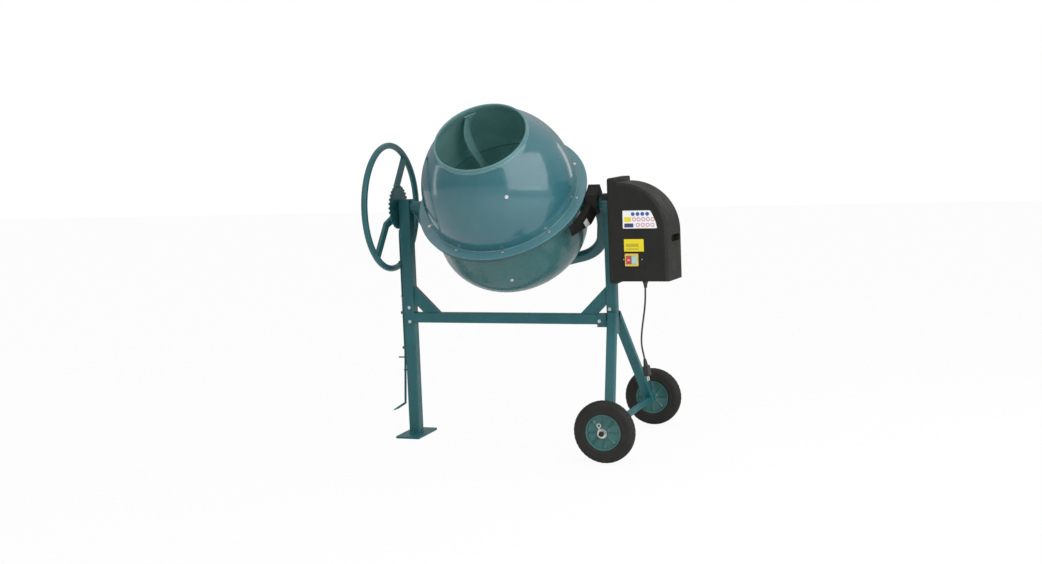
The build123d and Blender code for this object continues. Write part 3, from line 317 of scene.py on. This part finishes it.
def cord_mesh(points, radius, wobble=0.0, sides=12, closed=False):
    """Round bar along points in metres; a wobble turns it into a weld bead."""
    points = [Vector(point) for point in points]
    count = len(points)
    verts, faces = [], []
    normal = None
    for i, point in enumerate(points):
        ahead = points[(i + 1) % count] if closed or i < count - 1 else point
        behind = points[i - 1] if closed or i > 0 else point
        along = (ahead - behind).normalized()
        if normal is None:
            normal = along.orthogonal().normalized()
        normal = (normal - along * normal.dot(along)).normalized()
        across = along.cross(normal)
        size = radius * MM * (1 + wobble * math.sin(i * 2.1))
        for side in range(sides):
            angle = 2 * math.pi * side / sides
            verts.append(point + (normal * math.cos(angle) + across * math.sin(angle)) * size)
    for i in range(count if closed else count - 1):
        here, there = i * sides, (i + 1) % count * sides
        for side in range(sides):
            other = (side + 1) % sides
            faces.append((here + side, here + other, there + other, there + side))
    if not closed:
        faces.append(tuple(range(sides))[::-1])
        faces.append(tuple((count - 1) * sides + side for side in range(sides)))
    return verts, faces


def line(start, end, step=2.5):
    """Evenly spaced points between two places given in millimetres."""
    start, end = Vector(start) * MM, Vector(end) * MM
    count = max(2, round((end - start).length / (step * MM)))
    return [start.lerp(end, i / count) for i in range(count + 1)]


# ---------------------------------------------------------------- drum
def cone_r(h, inset=0.0):
    return -31.0 + math.sqrt((331.0 - inset) ** 2 - (h - 100.0) ** 2)


def drum_shells():
    """Both pressed shells with soft folds, a rolled mouth and a rougher inside; the inside is painted lighter
    as painted light, and the flange and the rolled mouth are lighter enamel as painted highlight.
    """
    wall = 2.5
    outer = [(cone_r(54 + 296 * t), 54 + 296 * t) for t in np.linspace(0.03, 1, 44)]
    angles = np.radians(np.linspace(-60, 232, 20))
    bead = [(179.5 + 4.5 * math.cos(a), 364 + 4.5 * math.sin(a)) for a in angles]
    inner = [(cone_r(h, wall), h) for h in np.linspace(350, 51.5, 44)]
    corners = [(336, 51.5, 0), (338, 51.5, 0.8), (338, 54, 1.2), (cone_r(54) + 1, 54, 5), (*outer[0], 0)]
    flange = softened(corners)[:-1]
    outline = flange + outer + bead + inner
    verts, faces = lathe_mesh(outline, DRUM_FRAME, 256)
    count = len(outline)
    # dark marks the inside faces, which get the inside paint made lighter as painted light.
    dark = range(len(flange) + len(outer) + len(bead) - 3, count)
    # rim marks the rolled mouth bead, which gets the lighter enamel as a painted highlight.
    rim = range(len(flange) + len(outer) - 1, len(flange) + len(outer) + len(bead) - 3)
    # fold marks the flange faces, which get the lighter enamel as painted light.
    fold = range(len(flange) - 4)
    part = {**{i: 1 for i in dark}, **{i: 2 for i in rim}, **{i: 3 for i in fold}}
    indices = [part.get(i % count, 0) for i in range(len(faces))]
    piece("drum_upper_shell", verts, faces, [DRUM, INSIDE_PAINTED_LIGHT, HIGHLIGHT_ENAMEL, FLANGE_PAINTED_LIGHT], "drum", "drum_paint", indices, 40,
          ["drum_cone"])
    arc = np.radians(np.linspace(0, -90, 40))
    outer = [(120 + 180 * math.cos(a), -110 + 180 * math.sin(a)) for a in arc]
    inner = [(120 + 177.5 * math.cos(a), -110 + 177.5 * math.sin(a)) for a in arc[::-1]]
    corners = [(297.5, 51.4, 0), (336, 51.4, 0), (338, 51.4, 0.8), (338, 49, 1.2), (300, 49, 4), (300, 20, 0)]
    fold = softened(corners)
    outline = fold + outer + [(10, -290), (10, -287.5)] + inner
    verts, faces = lathe_mesh(outline, DRUM_FRAME, 256)
    count = len(outline)
    # dark marks the inside faces, which get the inside paint made lighter as painted light.
    dark = range(len(fold) + len(outer) + 1, count)
    indices = [1 if i % count in dark else 0 for i in range(len(faces))]
    piece("drum_lower_shell", verts, faces, [BOWL, INSIDE_PAINTED_LIGHT], "drum", "drum_paint", indices, 40, ["drum_bowl"])


def drum_details():
    """Washers under the bolt heads, and beads at the joint inside and outside, in the lighter enamel as a
    painted highlight line along the joint.
    """
    washer = softened([(3.3, 0, 0), (7.2, 0, 0), (7.2, 1.2, 0.5), (3.3, 1.2, 0.3)], 2)
    meshes = []
    for i in range(10):
        place = DRUM_FRAME @ Matrix.Rotation(math.radians(-4 + 36 * i), 4, "Z")
        meshes.append(lathe_mesh(washer, place @ Matrix.Translation((0.307, 0, 0.054)), 28))
    for turn, high in ((120.6, 298.0), (-59.1, 265.0)):
        out = Vector((cone_r(high) + 31, 0, high - 100)).normalized()
        facing = out.to_track_quat("Z", "Y").to_matrix().to_4x4()
        place = Matrix.Translation(Vector((cone_r(high), 0, high)) * MM) @ facing
        spin = Matrix.Rotation(math.radians(turn), 4, "Z")
        meshes.append(lathe_mesh(washer, DRUM_FRAME @ spin @ place, 28))
        place = Matrix.Translation((0.2999, 0, -0.113)) @ Matrix.Rotation(math.pi / 2, 4, "Y")
        turned = Matrix.Rotation(math.radians(turn - 18.2), 4, "Z")
        meshes.append(lathe_mesh(washer, DRUM_FRAME @ turned @ place, 28))
    piece("drum_washers", *joined(meshes), [ZINC], "drum", "zinc")
    seam = [(295.2 + 1.6 * math.cos(a), 51.5 + 2.2 * math.sin(a)) for a in np.radians(np.arange(0, 360, 45))]
    angles = np.radians(np.arange(0, 360, 45))
    crease = [(298.2 + 1.3 * math.cos(a), 54.6 + 1.1 * math.sin(a)) for a in angles]
    meshes = [lathe_mesh(seam, DRUM_FRAME, 200), lathe_mesh(crease, DRUM_FRAME, 200)]
    # The joint beads are in the lighter enamel: a painted highlight line along the joint.
    piece("drum_joint_beads", *joined(meshes), [HIGHLIGHT_ENAMEL], "drum", "drum_paint")


drum_shells()
drum_details()


# ---------------------------------------------------------------- wheels and handwheel
def tyre_outline():
    corners = [(67, -22, 0), (75, -25, 2), (82, -25, 1), (83, -24.2, 0), (85, -24.2, 0), (86, -25, 1),
               (98, -25, 4), (110, -20, 8), (115.5, -8, 5), (115.5, -1.6, 0.3), (113.6, -1, 0.3),
               (113.6, 1, 0.3), (115.5, 1.6, 0.3)]
    mirror_side = [(r, -z, c) for r, z, c in corners[:9]][::-1]
    return softened(corners + mirror_side, 4)


def tread(angle, r, z):
    """Cross grooves over the shoulders of a tyre."""
    if r > 104 and abs(z) > 4:
        r -= 1.6 * max(0.0, math.cos(angle * 40)) ** 8 * min(1.0, (r - 104) / 4)
    return r, z


def rib(angle, r, z):
    """Eight pressed ribs across a wheel's disc."""
    if 20 < r < 60 and abs(z) < 21:
        lift = max(0.0, math.cos(angle * 8)) ** 6 * math.sin(math.pi * (r - 20) / 40) ** 0.4
        z += math.copysign(7.0 * lift, z)
    return r, z


def wheels():
    radii = (22, 26, 31, 37, 43, 49, 54, 57)
    face = [(17, 30.5, 0.6), (17, 15, 1)] + [(r, 11 + 1.5 * math.sin(r / 8), 0) for r in radii] + [
        (59.5, 12, 1), (61, 21, 1), (66, 22.5, 1.5), (67, 20, 1)]
    back = [(r, -z, c) for r, z, c in face][::-1]
    disc = softened([(10.1, 30.5, 0.4)] + face + back + [(10.1, -30.5, 0.4)], 3)
    for side, name in ((-1, "front"), (1, "rear")):
        centre = Vector(joints[f"{name}_wheel_spin"]["pos_m"])
        place = Matrix.Translation(centre) @ Matrix.Rotation(-side * math.pi / 2, 4, "X")
        body = f"{name}_wheel"
        piece(f"{name}_tyre", *lathe_mesh(tyre_outline(), place, 400, tread), [TYRE], body, "tyre",
              stands_for=[f"tyre_{name}"])
        piece(f"{name}_hub", *lathe_mesh(disc, place, 256, rib), [HUB], body, "wheel_paint",
              stands_for=[f"wheel_hub_{name}"])


def handwheel():
    """Tube rim with a weld at each spoke."""
    place = Matrix.Translation(PIVOT) @ Matrix.Rotation(math.pi / 2, 4, "Y")
    angles = np.radians(np.arange(0, 360, 15))
    ring = [(247 + 12.5 * math.cos(a), -493.4 + 12.5 * math.sin(a)) for a in angles]
    piece("handwheel_tube", *lathe_mesh(ring, place, 256), [FRAME], "yoke", "frame_paint",
          stands_for=["handwheel_rim"])
    meshes = []
    for angle in (53.0, 231.0):
        turn = Matrix.Translation(PIVOT) @ Matrix.Rotation(math.radians(angle - 90), 4, "X")
        outline = [(-13, -7), (13, -7), (13, 7), (-13, 7), (-13, -7)]
        points = []
        for (y0, x0), (y1, x1) in zip(outline, outline[1:]):
            points += line((-493.4 + x0, y0, 236), (-493.4 + x1, y1, 236))[:-1]
        meshes.append(cord_mesh([turn @ point for point in points], 1.8, 0.25, 8, closed=True))
    piece("handwheel_welds", *joined(meshes), [FRAME], "yoke", "frame_paint")


wheels()
handwheel()


# ---------------------------------------------------------------- frame details
def around(x, y, z):
    """Closed loop of points round a rectangle given as limits, in millimetres."""
    corners = [(x[0], y[0]), (x[1], y[0]), (x[1], y[1]), (x[0], y[1])]
    points = []
    for (ax, ay), (bx, by) in zip(corners, corners[1:] + corners[:1]):
        points += line((ax, ay, z), (bx, by, z))[:-1]
    return points


def frame_welds():
    """Weld beads where the stand's tubes and plates meet."""
    column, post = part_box("column"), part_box("post")
    bar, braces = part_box("crossbar"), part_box("braces")
    top = bar[1][2] * 1000
    left, right = column[1][0] * 1000, post[0][0] * 1000
    rise = (braces[1][2] - bar[1][2]) * 1000
    x = (column[0][0] * 1000, left)
    meshes = [cord_mesh(around(x, (-22.5, 22.5), 8.5), 2.0, 0.25, 8, closed=True)]
    for wall, way in ((left, 1), (right, -1)):
        for y in (-12.5, 12.5):
            meshes.append(cord_mesh(line((wall, y, top + rise - 66), (wall, y, top + rise - 2)), 1.6, 0.3, 8))
            seam = line((wall + way * (rise - 66), y, top), (wall + way * (rise - 2), y, top))
            meshes.append(cord_mesh(seam, 1.6, 0.3, 8))
    z = (bar[0][2] * 1000, top)
    for a, b in (((left, -20, z[0]), (left, -20, z[1])), ((left, 20, z[0]), (left, 20, z[1]))):
        meshes.append(cord_mesh(line(a, b), 1.6, 0.3, 8))
    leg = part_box("leg_front")
    for y in (-20.5, 20.5):
        span = (leg[0][0] * 1000 + 2, leg[0][0] * 1000 + 36)
        height = leg[1][2] * 1000 - 1
        meshes.append(cord_mesh(line((span[0], y, height), (span[1], y, height)), 1.6, 0.3, 8))
    piece("frame_welds", *joined(meshes), [FRAME], "stand", "frame_paint")


def yoke_welds():
    """Weld beads round the pivots and the bearing housing."""
    meshes = []
    for x, radius in ((-398.5, 22.2), (398.5, 25.2), (-353.5, 22.2), (353.5, 25.2)):
        ring = [PIVOT + Vector((x, radius * math.cos(a), radius * math.sin(a))) * MM
                for a in np.linspace(0, 2 * math.pi, 60)[:-1]]
        meshes.append(cord_mesh(ring, 1.8, 0.25, 8, closed=True))
    for h in (-353.5, -398.5):
        ring = [DRUM_FRAME @ (Vector((27.2 * math.cos(a), 27.2 * math.sin(a), h)) * MM)
                for a in np.linspace(0, 2 * math.pi, 60)[:-1]]
        meshes.append(cord_mesh(ring, 1.8, 0.25, 8, closed=True))
    piece("yoke_welds", *joined(meshes), [FRAME], "yoke", "frame_paint")


frame_welds()
yoke_welds()


# ---------------------------------------------------------------- labels, all blank
def plate_mesh(points, back, front):
    """Thin upright plate from an X-Z outline in millimetres, measured from the drum's centre plane."""
    place = Vector((PIVOT.x, 0, 0))
    verts = [place + Vector((x, y, z)) * MM for y in (back, front) for x, z in points]
    count = len(points)
    faces = [tuple(range(count)), tuple(range(count, 2 * count))[::-1]]
    faces += [(i, count + i, count + (i + 1) % count, (i + 1) % count) for i in range(count)]
    return verts, faces


def disc_points(x, z, radius, count=28):
    angles = np.linspace(0, 2 * math.pi, count, endpoint=False)
    return [(x + radius * math.cos(a), z + radius * math.sin(a)) for a in angles]


def rectangle(x, z, round_by=1.5):
    corners = [(x[0], z[0]), (x[1], z[0]), (x[1], z[1]), (x[0], z[1])]
    return softened([(*corner, round_by) for corner in corners], 4)


STICKER = 0.3    # thickness of a sticker, mm
PRINT = 0.25     # step of the coloured shapes on it
DISC_R = 7.2
RING_R = 7.4
RING_INNER_R = 4.8


def cover_label(name, meshes, material):
    """Adds one sticker, or one colour of shapes on a sticker, to the motor cover."""
    piece(name, *joined(meshes), [material], "stand", "black_plastic")


def labels():
    """Blank stickers on the motor cover and the guard: plain colours and shapes, no writing."""
    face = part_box("belt_case")[0][1] * 1000
    over, top = face - PRINT, face - 2 * PRINT

    def sticker(outline):
        return plate_mesh(outline, face, face - STICKER)

    def printed(outline):
        return plate_mesh(outline, over, top)

    sheet = softened([(501, 837, 3), (633, 837, 4), (626, 868, 14), (608, 904, 5), (501.6, 904, 3)], 5)
    cover_label("label_sheet", [sticker(sheet)], PAPER)
    discs = [(541 + 18.5 * i, 891) for i in range(4)]
    cover_label("label_blue_discs", [printed(disc_points(x, z, DISC_R)) for x, z in discs], BLUE)
    rings = [(545 + 18.0 * i, 871) for i in range(5)] + [(560 + 18.5 * i, 850) for i in range(4)]
    cover_label("label_red_rings", [printed(disc_points(x, z, RING_R)) for x, z in rings], PINK)
    middles = [plate_mesh(disc_points(x, z, RING_INNER_R), top + 0.05, top - 0.15) for x, z in rings]
    cover_label("label_ring_middles", middles, PAPER)
    cover_label("label_yellow_block", [printed(rectangle((507, 534), (862, 880)))], YELLOW)
    cover_label("label_navy_block", [printed(rectangle((507, 542), (841, 856)))], NAVY)
    cover_label("label_yellow", [sticker(rectangle((503.5, 579.5), (750.5, 797)))], YELLOW)
    marks = [rectangle((510, 560), (768, 780)), rectangle((510, 560), (757, 762))]
    cover_label("label_yellow_marks", [printed(mark) for mark in marks], OCHRE)
    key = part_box("stop_button")
    x = (key[0][0] + key[1][0]) * 500 - PIVOT.x * 1000
    z = (key[0][2] + key[1][2]) * 500
    front = key[0][1] * 1000
    mark = rectangle((x - 4, x + 4), (z - 1.5, z + 1.5), 0.8)
    piece("stop_mark", *plate_mesh(mark, front + 0.1, front - 0.1), [PAPER], "stop_key", "red_button")
    turn = Matrix.Rotation(math.radians(-17.5), 4, "Z")
    lean = Matrix.Rotation(math.radians(-11.3), 4, "Y")
    place = DRUM_FRAME @ turn @ Matrix.Translation((0.3734, 0, 0.007)) @ lean
    piece("guard_sticker", *box_mesh((0.6, 25, 30), place), [GREY], "yoke", "black_plastic")


labels()


# ---------------------------------------------------------------- stage, light and camera
def area_light(name, place, target, size, power, colour=(1, 1, 1)):
    data = bpy.data.lights.new(name, "AREA")
    data.shape = "RECTANGLE"
    data.size, data.size_y = size
    data.energy = power
    data.color = colour
    obj = bpy.data.objects.new(name, data)
    obj.location = place
    obj.rotation_mode = "QUATERNION"
    obj.rotation_quaternion = (Vector(target) - Vector(place)).to_track_quat("-Z", "Y")
    obj.visible_camera = False
    bpy.context.scene.collection.objects.link(obj)
    return obj


def floor():
    """Pale paper floor, lit so evenly that it fades into the white behind."""
    mesh = bpy.data.meshes.new("floor")
    side = 14.0
    corners = [(-side, -side, 0), (side, -side, 0), (side, side, 0), (-side, side, 0)]
    mesh.from_pydata(corners, [], [(0, 1, 2, 3)])
    obj = bpy.data.objects.new("floor", mesh)
    paper = surface("floor_paper", (0.86, 0.86, 0.86), 0.8, tint=0.01)
    tree = paper.node_tree
    out = next(n for n in tree.nodes if n.type == "OUTPUT_MATERIAL")
    shade = out.inputs["Surface"].links[0].from_socket
    glow = tree.nodes.new("ShaderNodeEmission")
    glow.inputs["Strength"].default_value = 1.0
    mix = tree.nodes.new("ShaderNodeMixShader")
    path = tree.nodes.new("ShaderNodeLightPath")
    share = tree.nodes.new("ShaderNodeMath")
    share.operation = "MULTIPLY"
    share.inputs[1].default_value = 0.93
    tree.links.new(path.outputs["Is Camera Ray"], share.inputs[0])
    tree.links.new(share.outputs["Value"], mix.inputs["Fac"])
    tree.links.new(shade, mix.inputs[1])
    tree.links.new(glow.outputs["Emission"], mix.inputs[2])
    tree.links.new(mix.outputs["Shader"], out.inputs["Surface"])
    obj.data.materials.append(paper)
    bpy.context.scene.collection.objects.link(obj)


def world():
    """White background for the camera, and a soft vertical gradient as light."""
    scene = bpy.context.scene
    scene.world = bpy.data.worlds.new("studio")
    scene.world.use_nodes = True
    tree = scene.world.node_tree
    back = tree.nodes["Background"]
    path = tree.nodes.new("ShaderNodeLightPath")
    split = tree.nodes.new("ShaderNodeSeparateXYZ")
    coords = tree.nodes.new("ShaderNodeTexCoord")
    tree.links.new(coords.outputs["Generated"], split.inputs["Vector"])
    height = ramp(tree, split.outputs["Z"], 0.24, 0.85, -0.1, 0.9)
    node = tree.nodes.new("ShaderNodeMix")
    node.data_type = "FLOAT"
    tree.links.new(path.outputs["Is Camera Ray"], node.inputs["Factor"])
    tree.links.new(height, node.inputs["A"])
    node.inputs["B"].default_value = 1.0
    tree.links.new(node.outputs["Result"], back.inputs["Strength"])
    back.inputs["Color"].default_value = (1, 1, 1, 1)


VIEW_AZIMUTH = math.radians(20.57)
VIEW_ELEVATION = math.radians(5.85)
VIEW_ROLL = math.radians(2.326)
VIEW_TARGET = Vector((PIVOT.x, 0.0, 0.665))
VIEW_DISTANCE = 5.842


def camera():
    """Camera seen from VIEW_AZIMUTH and VIEW_ELEVATION, turned a little about its own axis."""
    azimuth, elevation, roll = VIEW_AZIMUTH, VIEW_ELEVATION, VIEW_ROLL
    level = math.cos(elevation)
    back = Vector((math.sin(azimuth) * level, -math.cos(azimuth) * level, math.sin(elevation)))
    right = Vector((math.cos(azimuth), math.sin(azimuth), 0))
    up = back.cross(right)
    c, s = math.cos(roll), math.sin(roll)
    matrix = Matrix((c * right - s * up, s * right + c * up, back)).transposed().to_4x4()
    matrix.translation = VIEW_TARGET + back * VIEW_DISTANCE
    data = bpy.data.cameras.new("camera")
    data.sensor_width = 36.0
    data.lens = 51.3
    data.shift_x, data.shift_y = 0.01194, -0.00991
    obj = bpy.data.objects.new("camera", data)
    obj.matrix_world = matrix
    bpy.context.scene.collection.objects.link(obj)
    bpy.context.scene.camera = obj


floor()
world()
camera()
area_light("window", (2.62, -1.35, 1.80), (-0.083, -0.2, 1.0), (3.8, 2.6), 66)
area_light("fill", (-0.8, -4.2, 3.2), (0, 0, 0.7), (2.5, 1.2), 22)
area_light("strip_left", (-3.0, -0.4, 1.35), (-0.083, -0.2, 1.0), (0.35, 1.6), 3)
area_light("strip_back", (1.3, 2.8, 1.7), (-0.083, 0, 1.0), (0.5, 1.2), 2.5)
bpy.context.scene.view_settings.view_transform = "Standard"
